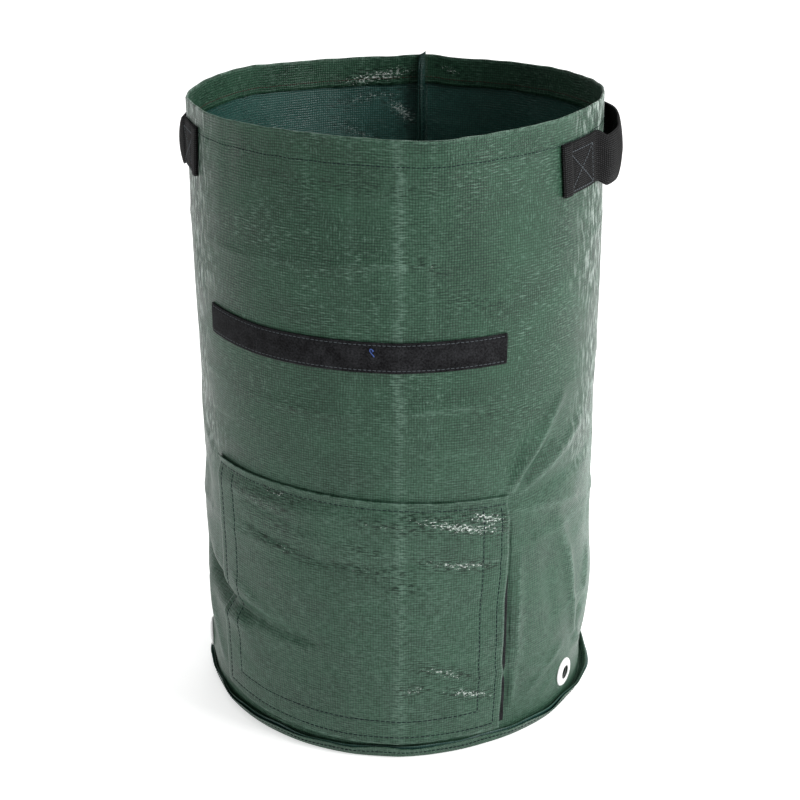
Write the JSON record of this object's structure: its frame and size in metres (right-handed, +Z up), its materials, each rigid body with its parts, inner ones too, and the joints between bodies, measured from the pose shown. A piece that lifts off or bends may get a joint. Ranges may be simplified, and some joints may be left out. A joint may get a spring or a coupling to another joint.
{
  "type": "grow bag",
  "caption": "Tall round planting bag of woven sheet with an open top, a lift-up harvest flap over a window, webbing side handles and moulded drain eyelets near the base.",
  "frame": {"origin": "centre of the base, on the ground", "axes": "+Z up to the open rim, -Y towards the harvest flap, +X towards the right-hand handle as seen from the front"},
  "size_m": [0.36, 0.342, 0.508],
  "materials": {
    "woven_sheet": "semi-gloss woven polyethylene sheet, dark green",
    "webbing": "ribbed black polypropylene webbing",
    "loop_tape": "brushed black loop tape",
    "hook_tape": "black moulded hook tape",
    "eyelet_plastic": "white moulded plastic",
    "seam_thread": "dark thread",
    "handle_thread": "grey thread"
  },
  "bodies": {
    "bag": {"back_seam_allowance": "woven_sheet", "back_seam_stitching": "seam_thread", "base_panel": "woven_sheet", "base_seam_stitching": "seam_thread", "eyelet_front_left": "eyelet_plastic", "eyelet_front_right": "eyelet_plastic", "eyelet_rear_left": "eyelet_plastic", "eyelet_rear_right": "eyelet_plastic", "eyelet_washer_front_left": "eyelet_plastic", "eyelet_washer_front_right": "eyelet_plastic", "eyelet_washer_rear_left": "eyelet_plastic", "eyelet_washer_rear_right": "eyelet_plastic", "flap_hinge_stitching": "seam_thread", "flap_sewn_edge": "woven_sheet", "left_handle_front_stitching": "handle_thread", "left_handle_front_tab": "webbing", "left_handle_rear_stitching": "handle_thread", "left_handle_rear_tab": "webbing", "park_strip": "loop_tape", "park_strip_stitching": "seam_thread", "right_handle_front_stitching": "handle_thread", "right_handle_front_tab": "webbing", "right_handle_rear_stitching": "handle_thread", "right_handle_rear_tab": "webbing", "rim_stitching": "seam_thread", "wall_panel": "woven_sheet", "window_loop_bottom": "loop_tape", "window_loop_left": "loop_tape", "window_loop_right": "loop_tape"},
    "flap": {"flap_panel": "woven_sheet", "flap_hook_left": "hook_tape", "flap_hook_right": "hook_tape", "flap_hook_bottom": "hook_tape", "flap_border_stitching": "seam_thread"},
    "right_handle": {"right_handle_loop": "webbing"},
    "left_handle": {"left_handle_loop": "webbing"}
  },
  "joints": [
    {"name": "flap_lift", "type": "hinge", "parent": "bag", "child": "flap", "pos_m": [-0.01182, -0.16909, 0.2225], "axis": [-0.9976, 0.0698, 0], "range_deg": [0, 100]},
    {"name": "right_handle_swing", "type": "hinge", "parent": "bag", "child": "right_handle", "pos_m": [0.15768, 0.01103, 0.488], "axis": [0.0698, -0.9976, 0], "range_deg": [0, 60]},
    {"name": "left_handle_swing", "type": "hinge", "parent": "bag", "child": "left_handle", "pos_m": [-0.15768, 0.01103, 0.488], "axis": [0.0698, 0.9976, 0], "range_deg": [0, 60]}
  ]
}
